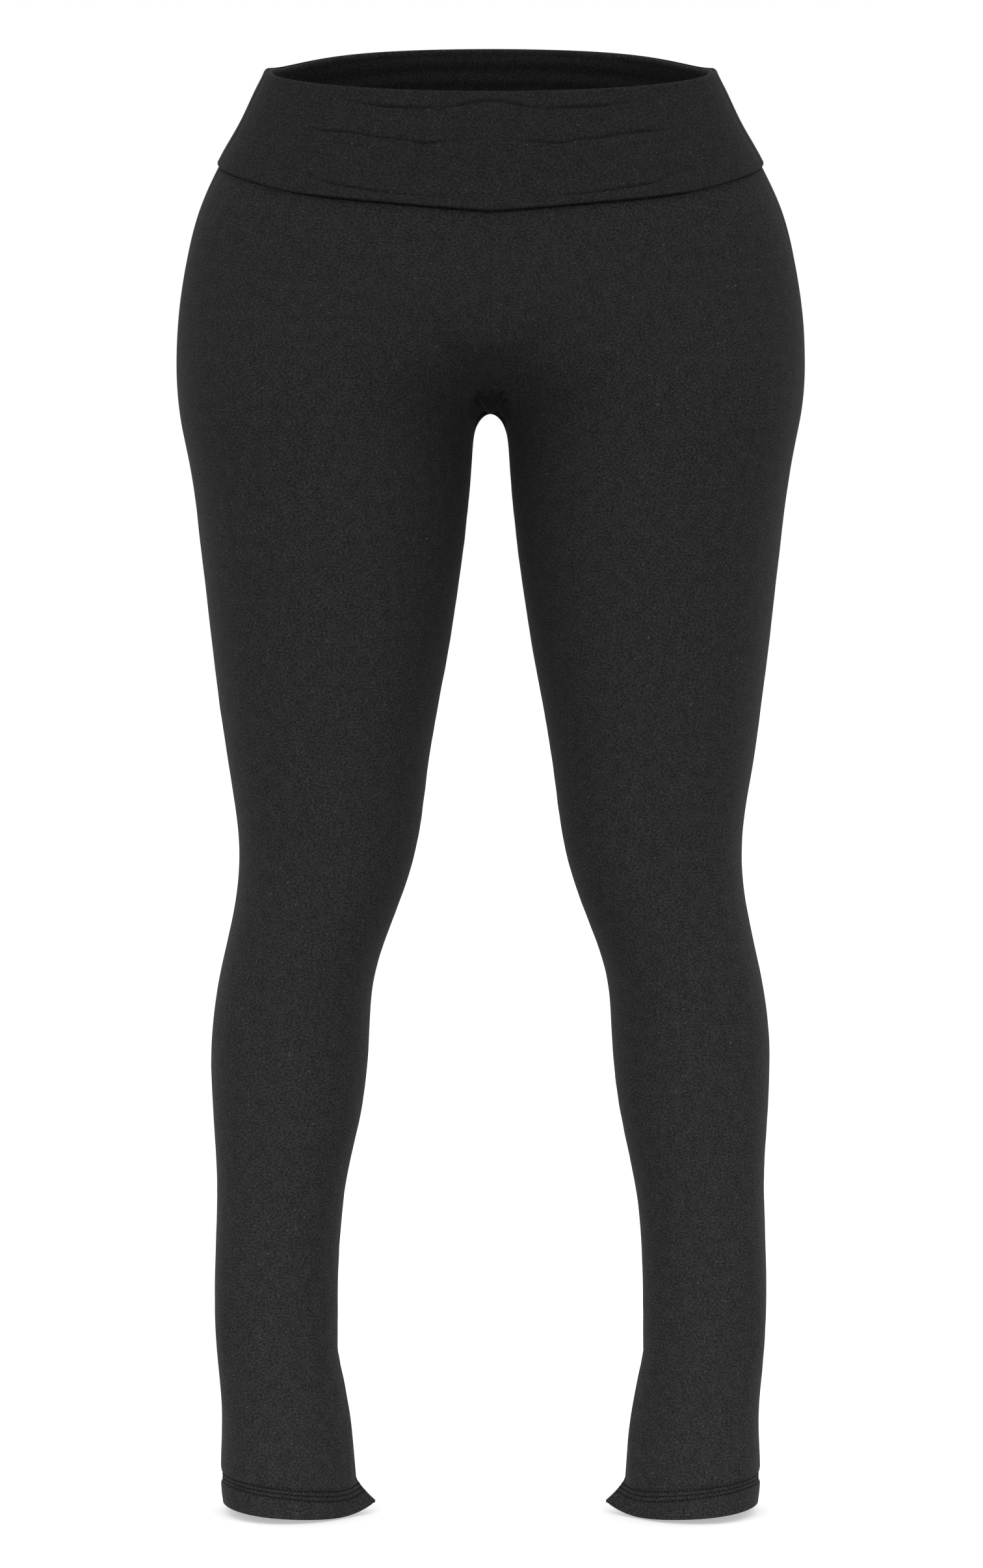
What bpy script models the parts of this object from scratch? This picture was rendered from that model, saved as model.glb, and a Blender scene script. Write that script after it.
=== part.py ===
"""Leggings of knit jersey with a fold-over waistband and a slit at each ankle.

They keep the hollow form they have when worn: two front and two back leg panels,
and a waistband whose front and back halves fold over at the waist and hang down
outside. Metres, +Z up, the front towards -Y, the wearer's left towards +X. The
origin is the centre of the waist opening, level with the top of its sides.

Every panel is a stretch of one round form, walked in two directions: level, the
height on the body, and turn, the angle round a leg from its outer line (0) over
the front (+) or the back (-) to its inner line (pi).
"""

import bpy
import numpy as np

# Cloth
WALL = 0.0013              # leg cloth
HEM_WALL = 0.0023          # leg cloth where the hem is turned up
BAND_WALL = 0.0016         # waistband cloth, two layers sewn as one
SEAM_GAP = 0.0003          # between two pieces that are sewn together

# Levels, from the waist opening down
WAIST_SEAM = -0.052        # the legs are sewn to the band here, under the fold
CROTCH = -0.2186
SLIT_TOP = -0.8244
HEM_TURN = -0.907          # upper end of the turned hem
HEM = -0.927

# Form
SIDE_SEAM_TURN = 0.13      # the side seam lies this far forward of the outer line, radians
CROTCH_ROUND = 0.020       # half width of the soft valley between the thighs
FULLNESS = 0.94            # below 1 the rounds are a little squarer than an ellipse
WAIST_SQUARENESS = 2.0     # the body's round is an ellipse at the waist
HIP_SQUARENESS = 2.5       # and a little squarer at the hips
WAIST_SLOPE = 0.155        # the waist rises this much per metre from front to back
WAIST_BACK = 0.098         # y of the waist at the centre back
WAIST_DIP = 6.2            # how much flatter the rise is just behind the sides
WAIST_PEAK = 0.06          # how much steeper it is at the centre back
SLOPE_FULL = -0.070        # the whole slope shows above this level
SLOPE_END = -0.190         # and none of it below this one

# Waistband
BAND_DEPTH = 0.061         # from the fold down to the free edge, at the sides
BAND_FRONT_DIP = 0.010     # the free edge hangs this much lower at the centre front
FOLD_RADIUS = 0.0019       # the soft roll at the top, at the middle of the cloth
FLAP_GAP = 0.0005          # between the folded layer and what it lies on

# Hem corner beside each slit, which curls towards the other leg
CURL_START = -0.907
CURL_REACH = 0.0125
CURL_LIFT = 0.0065
CURL_TURN = 2.30           # the curl begins at this turn and is full at the slit's edge
HEM_TILT = 0.070           # the hem falls this much per metre towards the other leg
HEM_MIDDLE = 0.136         # middle of the hem, from the middle plane

# Sections: level; outer line of the leg from the middle plane; y of that line; y of
# the front-most and of the back-most line
SECTION_COLUMNS = ("level", "outer", "side_y", "front_y", "back_y")
SECTIONS = (
    (0.0000, 0.1402, 0.0000, -0.0950, 0.0960),
    (-0.0120, 0.1478, 0.0000, -0.0985, 0.0995),
    (-0.0300, 0.1566, 0.0005, -0.1025, 0.1045),
    (-0.0450, 0.1652, 0.0010, -0.1055, 0.1085),
    (-0.0570, 0.1718, 0.0015, -0.1080, 0.1120),
    (-0.0700, 0.1784, 0.0020, -0.1105, 0.1160),
    (-0.0900, 0.1868, 0.0028, -0.1135, 0.1215),
    (-0.1200, 0.1945, 0.0035, -0.1160, 0.1280),
    (-0.1500, 0.1994, 0.0040, -0.1160, 0.1318),
    (-0.1820, 0.2014, 0.0040, -0.1135, 0.1318),
    (-0.2186, 0.1991, 0.0030, -0.1105, 0.1262),
    (-0.2450, 0.1940, 0.0010, -0.1090, 0.1190),
    (-0.2900, 0.1872, -0.0020, -0.1065, 0.1045),
    (-0.3300, 0.1828, -0.0040, -0.1025, 0.0935),
    (-0.3950, 0.1751, -0.0060, -0.0935, 0.0795),
    (-0.4450, 0.1681, -0.0075, -0.0845, 0.0685),
    (-0.4960, 0.1617, -0.0080, -0.0745, 0.0610),
    (-0.5300, 0.1640, -0.0045, -0.0670, 0.0625),
    (-0.5800, 0.1747, 0.0040, -0.0575, 0.0700),
    (-0.6200, 0.1803, 0.0080, -0.0520, 0.0730),
    (-0.6650, 0.1798, 0.0085, -0.0475, 0.0695),
    (-0.7160, 0.1773, 0.0065, -0.0430, 0.0600),
    (-0.7670, 0.1785, 0.0040, -0.0400, 0.0510),
    (-0.8244, 0.1776, 0.0030, -0.0400, 0.0465),
    (-0.8700, 0.1742, 0.0030, -0.0420, 0.0475),
    (-0.9200, 0.1747, 0.0030, -0.0460, 0.0510),
    (HEM, 0.1738, 0.0030, -0.0465, 0.0515),
)

# Inner line of the leg, from the middle plane
INNER_COLUMNS = ("level", "inner")
INNER_LINE = (
    (CROTCH, 0.0000),
    (-0.2250, 0.0081),
    (-0.2450, 0.0118),
    (-0.2900, 0.0157),
    (-0.3300, 0.0208),
    (-0.3950, 0.0317),
    (-0.4450, 0.0402),
    (-0.4960, 0.0477),
    (-0.5300, 0.0577),
    (-0.5800, 0.0747),
    (-0.6200, 0.0784),
    (-0.6650, 0.0830),
    (-0.7160, 0.0935),
    (-0.7670, 0.0984),
    (SLIT_TOP, 0.0992),
    (-0.8700, 0.0992),
    (HEM, 0.0980),
)

# Above the crotch the rounds of the two legs run together. The inner side of each
# round moves past the middle plane with the rise above the crotch, first by
# MERGE_START times the rise, then faster.
MERGE_START = 0.3
MERGE_GROWTH = 180.0
MERGE_POWER = 2.4
PARTING_TOP = -0.100       # above this level the body is one plain round

# Front flap of the slit: level, and how far its edge stands in from the back one
FLAP_COLUMNS = ("level", "inward")
FLAP = (
    (SLIT_TOP, 0.0000),
    (-0.8520, 0.0050),
    (-0.8860, 0.0090),
    (-0.9090, 0.0105),
    (HEM, 0.0110),
)

# Creases across the folded band: share of its depth at its centre and where the
# crease ends, how far out that is (1 is the side), and how proud the cloth stands
CREASE_COLUMNS = ("share_centre", "share_end", "reach", "height")
FRONT_CREASES = (
    (0.20, 0.17, 0.78, 0.0009),
    (0.50, 0.56, 0.80, 0.0010),
    (0.92, 0.82, 0.75, 0.0011),
)
BACK_CREASES = (
    (0.24, 0.20, 0.70, 0.0008),
    (0.60, 0.54, 0.80, 0.0010),
)
CREASE_WIDTH = 0.07        # share of the band's depth

# Rows of a leg panel: levels of the upper ones, levels between which rows crowd
# towards the crotch, and levels of those along the slit
TOP_ROWS = (-0.060, -0.070, -0.085, -0.105)
CROWDED_FROM = -0.130
CROWDED_TO = -0.2786
SLIT_ROWS = (-0.845, -0.866, -0.887)
HEM_BAND_ROW = -0.917
HEM_STEP = 0.0006          # half the height over which the hem's wall thickens
ROWS_ABOVE_CROTCH = 9
ROWS_BELOW_CROTCH = 6
ROWS_DOWN_LEG = 17
PANEL_COLUMNS = 11         # from side seam to inseam

# Rows of the band, and its columns from side seam to centre
STAND_ROWS = 5
ROLL_ROWS = 5
FLAP_ROWS = 13
BAND_HALF_COLUMNS = 11
FLAP_SETTLE = 0.12         # share of its depth in which the folded layer comes in to lie flat
FREE_EDGE_THICKNESS = 0.7  # of the band's wall

# Finish
CHARCOAL_JERSEY = (0.021, 0.021, 0.022, 1.0)
CHARCOAL_BAND = (0.023, 0.023, 0.024, 1.0)
JERSEY_ROUGHNESS = 0.9
SHARP_EDGE = 50            # degrees between two faces that meet in a hard edge


def clear_scene():
    for thing in list(bpy.data.objects):
        bpy.data.objects.remove(thing, do_unlink=True)


def jersey(name, colour):
    material = bpy.data.materials.new(name)
    material.use_nodes = True
    shader = material.node_tree.nodes["Principled BSDF"]
    shader.inputs["Base Color"].default_value = colour
    shader.inputs["Roughness"].default_value = JERSEY_ROUGHNESS
    shader.inputs["Metallic"].default_value = 0.0
    return material


def column(table, names, name):
    return np.array([row[names.index(name)] for row in table])


def smooth_curve(at, known_at, known):
    """The natural cubic spline through known points: smooth, with straight ends."""
    order = np.argsort(known_at)
    x, y = known_at[order], known[order]
    step = np.diff(x)
    rise = np.diff(y) / step
    system = np.eye(len(x))
    right = np.zeros(len(x))
    for i in range(1, len(x) - 1):
        system[i, i - 1 : i + 2] = step[i - 1], 2 * (step[i - 1] + step[i]), step[i]
        right[i] = 6 * (rise[i] - rise[i - 1])
    bend = np.linalg.solve(system, right)
    at = np.clip(at, x[0], x[-1])
    i = np.clip(np.searchsorted(x, at) - 1, 0, len(step) - 1)
    ahead, behind = x[i + 1] - at, at - x[i]
    return (
        (bend[i] * ahead**3 + bend[i + 1] * behind**3) / (6 * step[i])
        + (y[i] / step[i] - bend[i] * step[i] / 6) * ahead
        + (y[i + 1] / step[i] - bend[i + 1] * step[i] / 6) * behind
    )


def ease(t):
    t = np.clip(t, 0.0, 1.0)
    return t * t * (3 - 2 * t)


def section(level, name):
    return smooth_curve(
        level,
        column(SECTIONS, SECTION_COLUMNS, "level"),
        column(SECTIONS, SECTION_COLUMNS, name),
    )


def spread(x):
    """Distance from the middle plane, rounded off near it into a soft valley."""
    return np.hypot(x, CROTCH_ROUND)


def power(value, exponent):
    """A power that keeps its sign, so that it goes on smoothly through zero."""
    return np.sign(value) * np.abs(value) ** exponent


def sides(level, is_front):
    """Spread distances of a leg's outer, crest and inner lines, its y and its depth.

    The crest is the front-most or back-most line, midway between the other two.
    """
    outer = spread(section(level, "outer"))
    known_level = column(INNER_LINE, INNER_COLUMNS, "level")
    known_inner = spread(column(INNER_LINE, INNER_COLUMNS, "inner"))
    inner = smooth_curve(level, known_level, known_inner)
    rise = np.maximum(level - CROTCH, 0.0)
    crest = (outer + inner - MERGE_START * rise) / 2
    if is_front:
        flap_level = column(FLAP, FLAP_COLUMNS, "level")
        inner = inner - smooth_curve(level, flap_level, column(FLAP, FLAP_COLUMNS, "inward"))
    inner = inner - MERGE_START * rise - MERGE_GROWTH * rise**MERGE_POWER
    side_y = section(level, "side_y")
    depth = side_y - section(level, "front_y") if is_front else section(level, "back_y") - side_y
    return outer, crest, inner, side_y, depth


def thickness_power(at, level, outer, crest, inner):
    """How deep the form is at a spread distance: 1 at the crest, 0 at its sides.

    Below the crotch it is a leg's round, a quarter ellipse to each side of its crest.
    Above, that goes over into one round about the middle plane.
    """
    across = np.where(at > crest, (at - crest) / (outer - crest), (crest - at) / (crest - inner))
    leg = power(1 - across**2, FULLNESS / 2)
    squareness = WAIST_SQUARENESS + (HIP_SQUARENESS - WAIST_SQUARENESS) * ease(level / PARTING_TOP)
    body = power(1 - (at / outer) ** squareness, FULLNESS / 2)
    parted = 1 - ease((level - CROTCH) / (PARTING_TOP - CROTCH))
    return power(parted * leg + (1 - parted) * body, 2 / FULLNESS)


def waist_rise(y):
    """How far the sloping waist lies above its sides, and how that grows with y.

    It is straight over the front. Behind, it is flatter at first and then rises to a
    soft peak at the centre back, where the seat needs the most cloth.
    """
    back = np.maximum(y, 0.0) / WAIST_BACK
    ahead = 1 - back
    rise = WAIST_SLOPE * y * (1 + WAIST_PEAK * back**2 - WAIST_DIP * back * ahead**3)
    dip_growth = 2 * back * ahead**3 - 3 * back**2 * ahead**2
    return rise, WAIST_SLOPE * (1 + 3 * WAIST_PEAK * back**2 - WAIST_DIP * dip_growth)


def slope_share(level):
    return ease((level - SLOPE_END) / (SLOPE_FULL - SLOPE_END))


def form(level, turn):
    """Points of the body form for the leg on the +X side.

    The spread distance goes from the outer line (turn 0) to the crest (a quarter
    turn) and on to the inner line, or to the middle plane above the crotch.
    """
    options = []
    for is_front in (True, False):
        outer, crest, inner, side_y, depth = sides(level, is_front)
        end = np.maximum(inner, CROTCH_ROUND)
        reach = np.where(np.cos(turn) > 0, outer - crest, crest - end)
        at = crest + reach * np.cos(turn)
        x = np.sqrt(np.maximum(at**2 - CROTCH_ROUND**2, 0.0))
        deep = np.maximum(thickness_power(at, level, outer, crest, inner), 0.0)
        y = side_y - (1 if is_front else -1) * depth * deep ** (FULLNESS / 2)
        z = level + waist_rise(y)[0] * slope_share(level)
        options.append(np.stack(np.broadcast_arrays(x, y, z), axis=-1))
    return np.where(turn[..., None] >= 0, options[0], options[1])


def outward(level, turn):
    """Unit normals of the form.

    They follow the slope, in x, y and level, of how far a point lies outside the
    form, and so stay true where rows of points crowd together at the crotch.
    """
    point = form(level, turn)
    x, y = point[..., 0], point[..., 1]
    h = 1e-5

    def outside(x, y, level):
        options = []
        for is_front in (True, False):
            outer, crest, inner, side_y, depth = sides(level, is_front)
            deep = thickness_power(spread(x), level, outer, crest, inner)
            options.append(np.abs((y - side_y) / depth) ** (2 / FULLNESS) - deep)
        return np.where(turn >= 0, options[0], options[1])

    def slope(dx, dy, dlevel):
        ahead = outside(x + dx, y + dy, level + dlevel)
        return (ahead - outside(x - dx, y - dy, level - dlevel)) / (2 * h)

    by_x, by_y, by_level = slope(h, 0, 0), slope(0, h, 0), slope(0, 0, h)
    share = slope_share(level)
    share_slope = (slope_share(level + h) - slope_share(level - h)) / (2 * h)
    rise, rise_growth = waist_rise(y)
    level_by_z = 1 / (1 + rise * share_slope)
    level_by_y = -rise_growth * share * level_by_z
    normal = np.stack((by_x, by_y + by_level * level_by_y, by_level * level_by_z), axis=-1)
    return normal / np.linalg.norm(normal, axis=-1, keepdims=True)


def leg_levels():
    """Rows of a leg panel: even ones down the leg, crowding together at the crotch."""
    top = (WAIST_SEAM - SEAM_GAP, *TOP_ROWS)
    above = CROTCH + (CROWDED_FROM - CROTCH) * np.linspace(1, 0, ROWS_ABOVE_CROTCH + 1) ** 2
    below = CROTCH + (CROWDED_TO - CROTCH) * np.linspace(0, 1, ROWS_BELOW_CROTCH + 1)[1:] ** 2
    leg = np.linspace(CROWDED_TO, SLIT_TOP, ROWS_DOWN_LEG + 1)[1:]
    hem = (HEM_TURN + HEM_STEP, HEM_TURN - HEM_STEP, HEM_BAND_ROW, HEM)
    return np.concatenate((top, above, below, leg, SLIT_ROWS, hem))


def hem_move(level, turn, points, is_front):
    """How the hem departs from the form: it falls a little towards the other leg, and
    the front corner beside the slit curls that way and lifts."""
    down = np.clip((CURL_START - level) / (CURL_START - HEM), 0.0, 1.0)
    near = ease((turn - CURL_TURN) / (np.pi - CURL_TURN)) if is_front else 0.0 * turn
    reach = CURL_REACH * down**1.5 * near**1.5
    lift = CURL_LIFT * down * near**2 + HEM_TILT * (points[..., 0] - HEM_MIDDLE) * down
    return np.stack((-reach, np.zeros_like(reach), lift), axis=-1)


def grid_faces(rows, columns):
    """Corners of each face of a rows x columns grid of points."""
    index = np.arange(rows * columns).reshape(rows, columns)
    corners = (index[:-1, :-1], index[1:, :-1], index[1:, 1:], index[:-1, 1:])
    return np.stack(corners, axis=-1).reshape(-1, 4)


def closed_wall(outer, inner):
    """Points and faces of a wall between two grids, closed along its four edges."""
    rows, columns = outer.shape[:2]
    faces = grid_faces(rows, columns)
    offset = rows * columns
    index = np.arange(offset).reshape(rows, columns)
    rim = np.concatenate((index[:, 0], index[-1, 1:], index[-2::-1, -1], index[0, -2:0:-1]))
    rim_next = np.roll(rim, -1)
    edge_faces = np.stack((rim, rim + offset, rim_next + offset, rim_next), axis=-1)
    points = np.concatenate((outer.reshape(-1, 3), inner.reshape(-1, 3)))
    return points, np.concatenate((faces, faces[:, ::-1] + offset, edge_faces))


def add_piece(name, points, faces, material):
    """A new object from points and faces, turned so that its faces point outwards."""
    a, b, c, d = (points[faces[:, i]] for i in range(4))
    volume = np.einsum("ij,ij->", a, np.cross(b, c)) + np.einsum("ij,ij->", a, np.cross(c, d))
    if volume < 0:
        faces = faces[:, ::-1]
    mesh = bpy.data.meshes.new(name)
    mesh.from_pydata(points.tolist(), [], faces.tolist())
    mesh.materials.append(material)
    mesh.shade_smooth()
    mesh.set_sharp_from_angle(angle=np.radians(SHARP_EDGE))
    piece = bpy.data.objects.new(name, mesh)
    bpy.context.scene.collection.objects.link(piece)
    return piece


def leg_panel(name, side, is_front, material):
    """One leg panel: side is +1 on the wearer's left, -1 on the right."""
    level = leg_levels()[:, None]
    end = np.pi if is_front else -np.pi
    turn = np.linspace(SIDE_SEAM_TURN, end, PANEL_COLUMNS + 1)[None, :] + 0 * level
    level = level + 0 * turn
    outer = form(level, turn)
    normal = outward(level, turn)

    # Both edges stand back from the seam line by half the gap.
    half_gap = SEAM_GAP / 2
    along = outer[:, 1] - outer[:, 0]
    along /= np.linalg.norm(along, axis=-1, keepdims=True)
    outer[:, 0] += half_gap * along
    above_crotch = level[:, -1] > CROTCH
    outer[above_crotch, -1, 0] += half_gap
    outer[~above_crotch, -1, 1] += half_gap * (-1 if is_front else 1)
    outer[np.isclose(level[:, -1], CROTCH), -1, 0] += half_gap

    wall = np.where(level > HEM_TURN, WALL, HEM_WALL)[..., None]
    inner = outer - wall * normal
    move = hem_move(level, turn, outer, is_front)
    outer, inner = outer + move, inner + move
    points, faces = closed_wall(outer, inner)
    points[:, 0] *= side
    return add_piece(name, points, faces, material)


def crease_height(share, out, creases):
    """How proud the band's folded layer stands: soft ridges that fade to the sides."""
    height = np.zeros(np.broadcast(share, out).shape)
    for row in creases:
        crease = dict(zip(CREASE_COLUMNS, row))
        along = np.clip(out / crease["reach"], 0.0, 1.0)
        drift = (crease["share_end"] - crease["share_centre"]) * along**2
        away = (share - crease["share_centre"] - drift) / CREASE_WIDTH
        height += crease["height"] * np.exp(-(away**2)) * (1 - ease(along))
    return height


def band_half(name, is_front, material):
    """Front or back half of the waistband: stand, roll at the top and folded layer."""
    creases = FRONT_CREASES if is_front else BACK_CREASES
    end = np.pi if is_front else -np.pi
    turn = np.linspace(SIDE_SEAM_TURN, end, BAND_HALF_COLUMNS + 1)
    half_way = np.array(-BAND_DEPTH / 2)
    out = form(half_way, turn)[:, 0] / section(half_way, "outer")
    dip = BAND_FRONT_DIP * (1 - out**2) ** 1.5 if is_front else 0.0
    depth = BAND_DEPTH + dip + 0 * turn

    # The middle of the cloth, walked from the waist seam up, over the roll and down:
    # drop below the fold, offset out from the body form, and share of the way down.
    stand_offset = -BAND_WALL / 2
    stand_drop = np.linspace(-WAIST_SEAM, FOLD_RADIUS, STAND_ROWS)
    arc = np.linspace(0.0, np.pi, ROLL_ROWS + 1)[1:]
    roll_drop = FOLD_RADIUS * (1 - np.sin(arc))
    roll_offset = stand_offset + FOLD_RADIUS * (1 - np.cos(arc))
    share = np.linspace(0.0, 1.0, FLAP_ROWS + 1)[1:]
    lies_at = FLAP_GAP + BAND_WALL / 2
    hang_offset = lies_at + (roll_offset[-1] - lies_at) * np.exp(-share / FLAP_SETTLE)

    drop = np.concatenate((stand_drop, roll_drop))[:, None] + 0 * turn[None, :]
    offset = np.concatenate((0 * stand_drop + stand_offset, roll_offset))[:, None] + 0 * drop
    hang_drop = FOLD_RADIUS + share[:, None] * (depth[None, :] - FOLD_RADIUS)
    proud = crease_height(share[:, None], out[None, :], creases)
    drop = np.concatenate((drop, hang_drop))
    offset = np.concatenate((offset, hang_offset[:, None] + proud))

    # Half the cloth's thickness to each side of its middle, thinner at the free edge.
    way_drop, way_offset = np.gradient(drop, axis=0), np.gradient(offset, axis=0)
    length = np.hypot(way_drop, way_offset)
    half = np.full(len(drop), BAND_WALL / 2)
    half[-1] *= FREE_EDGE_THICKNESS
    half = half[:, None]
    halves = []
    for face in (1, -1):
        face_drop = drop + face * half * way_offset / length
        face_offset = offset - face * half * way_drop / length
        face_turn = turn[None, :] + 0 * face_drop
        level = -face_drop
        point = form(level, face_turn) + face_offset[..., None] * outward(level, face_turn)
        # The column at the side seam stands back by half the gap.
        along = point[:, 1] - point[:, 0]
        point[:, 0] += SEAM_GAP / 2 * along / np.linalg.norm(along, axis=-1, keepdims=True)
        point[:, -1, 0] = 0.0
        mirrored = point[:, -2::-1] * np.array([-1.0, 1.0, 1.0])
        halves.append(np.concatenate((point, mirrored), axis=1))
    points, faces = closed_wall(*halves)
    return add_piece(name, points, faces, material)


def build():
    clear_scene()
    leg_cloth = jersey("charcoal_jersey", CHARCOAL_JERSEY)
    band_cloth = jersey("charcoal_band_jersey", CHARCOAL_BAND)
    leg_panel("front_left", 1, True, leg_cloth)
    leg_panel("front_right", -1, True, leg_cloth)
    leg_panel("back_left", 1, False, leg_cloth)
    leg_panel("back_right", -1, False, leg_cloth)
    band_half("waistband_front", True, band_cloth)
    band_half("waistband_back", False, band_cloth)


build()
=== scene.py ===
"""Leggings of charcoal melange jersey with a fold-over waistband, in their worn form.

Each leg is a front and a back panel, sewn at the side, the inseam and the rise. The
inseam stops at a slit above the ankle. The hems are turned up 20 mm and held by three
needle rows of coverstitch. The waistband is a doubled band that folds over at the top
and hangs down outside.

All cloth is a wall between two grids of points, worked out with numpy. A panel is a
stretch of one round form, walked by level, the height on the body, and turn, the angle
round a leg from its outer line (0) over the front (+) or the back (-) to its inner line
(pi). Metres, +Z up, the front towards -Y, the wearer's left towards +X.
"""

import bpy
import numpy as np
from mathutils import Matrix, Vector


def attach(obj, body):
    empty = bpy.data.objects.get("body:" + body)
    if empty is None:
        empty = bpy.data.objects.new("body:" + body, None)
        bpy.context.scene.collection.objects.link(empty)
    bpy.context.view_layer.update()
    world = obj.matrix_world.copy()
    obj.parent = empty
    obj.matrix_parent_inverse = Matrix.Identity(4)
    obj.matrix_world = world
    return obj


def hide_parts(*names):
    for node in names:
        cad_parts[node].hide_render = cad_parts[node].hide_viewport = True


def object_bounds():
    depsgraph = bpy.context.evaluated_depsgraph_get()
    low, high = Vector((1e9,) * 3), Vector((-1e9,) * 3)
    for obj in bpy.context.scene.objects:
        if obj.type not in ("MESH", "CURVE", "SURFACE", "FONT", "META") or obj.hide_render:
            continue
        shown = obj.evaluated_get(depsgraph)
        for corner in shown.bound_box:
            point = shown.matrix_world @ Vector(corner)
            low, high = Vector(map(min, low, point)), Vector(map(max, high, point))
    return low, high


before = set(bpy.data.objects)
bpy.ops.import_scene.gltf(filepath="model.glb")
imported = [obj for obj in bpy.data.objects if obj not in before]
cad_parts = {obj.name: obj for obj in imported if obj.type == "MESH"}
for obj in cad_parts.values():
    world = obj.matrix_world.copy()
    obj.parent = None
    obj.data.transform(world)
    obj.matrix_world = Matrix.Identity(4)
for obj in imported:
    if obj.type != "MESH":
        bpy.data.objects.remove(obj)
cad_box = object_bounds()

# ---------------- the cut, as in the frame

WAIST_SEAM = -0.052        # the legs are sewn to the band here, under the fold
CROTCH = -0.2186
SLIT_TOP = -0.8244
HEM_TURN = -0.907          # upper end of the turned hem
HEM = -0.927

SIDE_SEAM_TURN = 0.13      # the side seam lies this far forward of the outer line, radians
CROTCH_ROUND = 0.020       # half width of the soft valley between the thighs
FULLNESS = 0.94            # below 1 the rounds are a little squarer than an ellipse
WAIST_SQUARENESS = 2.0
HIP_SQUARENESS = 2.5
WAIST_SLOPE = 0.155        # the waist rises this much per metre from front to back
WAIST_BACK = 0.098         # y of the waist at the centre back
WAIST_DIP = 6.2            # how much flatter the rise is just behind the sides
WAIST_PEAK = 0.06          # how much steeper it is at the centre back
SLOPE_FULL = -0.070        # the whole slope shows above this level
SLOPE_END = -0.190         # and none of it below this one

BAND_DEPTH = 0.061         # about how far the band folds down
FOLD_RADIUS = 0.0019       # the soft roll at the top, at the middle of the cloth
FLAP_GAP = 0.0005          # between the folded layer and what it lies on
FLAP_SETTLE = 0.12         # share of its depth in which the folded layer comes in to lie flat

CURL_START = -0.907        # below this level the front corner beside the slit curls
CURL_REACH = 0.0125        # this far towards the other leg
CURL_LIFT = 0.0065         # and lifts by this much
CURL_TURN = 2.30           # the curl begins at this turn and is full at the slit's edge
HEM_TILT = 0.070           # the hem falls this much per metre towards the other leg
HEM_MIDDLE = 0.136         # middle of the hem, from the middle plane

# Level; outer line of the leg from the middle plane; y of that line; y of the
# front-most and of the back-most line
SECTION_COLUMNS = ("level", "outer", "side_y", "front_y", "back_y")
SECTIONS = (
    (0.0000, 0.1402, 0.0000, -0.0950, 0.0960),
    (-0.0120, 0.1478, 0.0000, -0.0985, 0.0995),
    (-0.0300, 0.1566, 0.0005, -0.1025, 0.1045),
    (-0.0450, 0.1652, 0.0010, -0.1055, 0.1085),
    (-0.0570, 0.1718, 0.0015, -0.1080, 0.1120),
    (-0.0700, 0.1784, 0.0020, -0.1105, 0.1160),
    (-0.0900, 0.1868, 0.0028, -0.1135, 0.1215),
    (-0.1200, 0.1945, 0.0035, -0.1160, 0.1280),
    (-0.1500, 0.1994, 0.0040, -0.1160, 0.1318),
    (-0.1820, 0.2014, 0.0040, -0.1135, 0.1318),
    (-0.2186, 0.1991, 0.0030, -0.1105, 0.1262),
    (-0.2450, 0.1940, 0.0010, -0.1090, 0.1190),
    (-0.2900, 0.1872, -0.0020, -0.1065, 0.1045),
    (-0.3300, 0.1828, -0.0040, -0.1025, 0.0935),
    (-0.3950, 0.1751, -0.0060, -0.0935, 0.0795),
    (-0.4450, 0.1681, -0.0075, -0.0845, 0.0685),
    (-0.4960, 0.1617, -0.0080, -0.0745, 0.0610),
    (-0.5300, 0.1640, -0.0045, -0.0670, 0.0625),
    (-0.5800, 0.1747, 0.0040, -0.0575, 0.0700),
    (-0.6200, 0.1803, 0.0080, -0.0520, 0.0730),
    (-0.6650, 0.1798, 0.0085, -0.0475, 0.0695),
    (-0.7160, 0.1773, 0.0065, -0.0430, 0.0600),
    (-0.7670, 0.1785, 0.0040, -0.0400, 0.0510),
    (-0.8244, 0.1776, 0.0030, -0.0400, 0.0465),
    (-0.8700, 0.1742, 0.0030, -0.0420, 0.0475),
    (-0.9200, 0.1747, 0.0030, -0.0460, 0.0510),
    (HEM, 0.1738, 0.0030, -0.0465, 0.0515),
)

# Inner line of the leg, from the middle plane
INNER_COLUMNS = ("level", "inner")
INNER_LINE = (
    (CROTCH, 0.0000),
    (-0.2250, 0.0081),
    (-0.2450, 0.0118),
    (-0.2900, 0.0157),
    (-0.3300, 0.0208),
    (-0.3950, 0.0317),
    (-0.4450, 0.0402),
    (-0.4960, 0.0477),
    (-0.5300, 0.0577),
    (-0.5800, 0.0747),
    (-0.6200, 0.0784),
    (-0.6650, 0.0830),
    (-0.7160, 0.0935),
    (-0.7670, 0.0984),
    (SLIT_TOP, 0.0992),
    (-0.8700, 0.0992),
    (HEM, 0.0980),
)

MERGE_START = 0.3          # above the crotch the two legs' rounds run together, first by
MERGE_GROWTH = 180.0       # this much per metre and then by a power of the height
MERGE_POWER = 2.4
PARTING_TOP = -0.100       # above this level the body is one plain round

# Front flap of the slit: level, and how far its edge stands in from the back one
FLAP_COLUMNS = ("level", "inward")
FLAP = (
    (SLIT_TOP, 0.0000),
    (-0.8520, 0.0050),
    (-0.8860, 0.0090),
    (-0.9090, 0.0105),
    (HEM, 0.0110),
)

# ---------------- cloth and sewing

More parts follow.
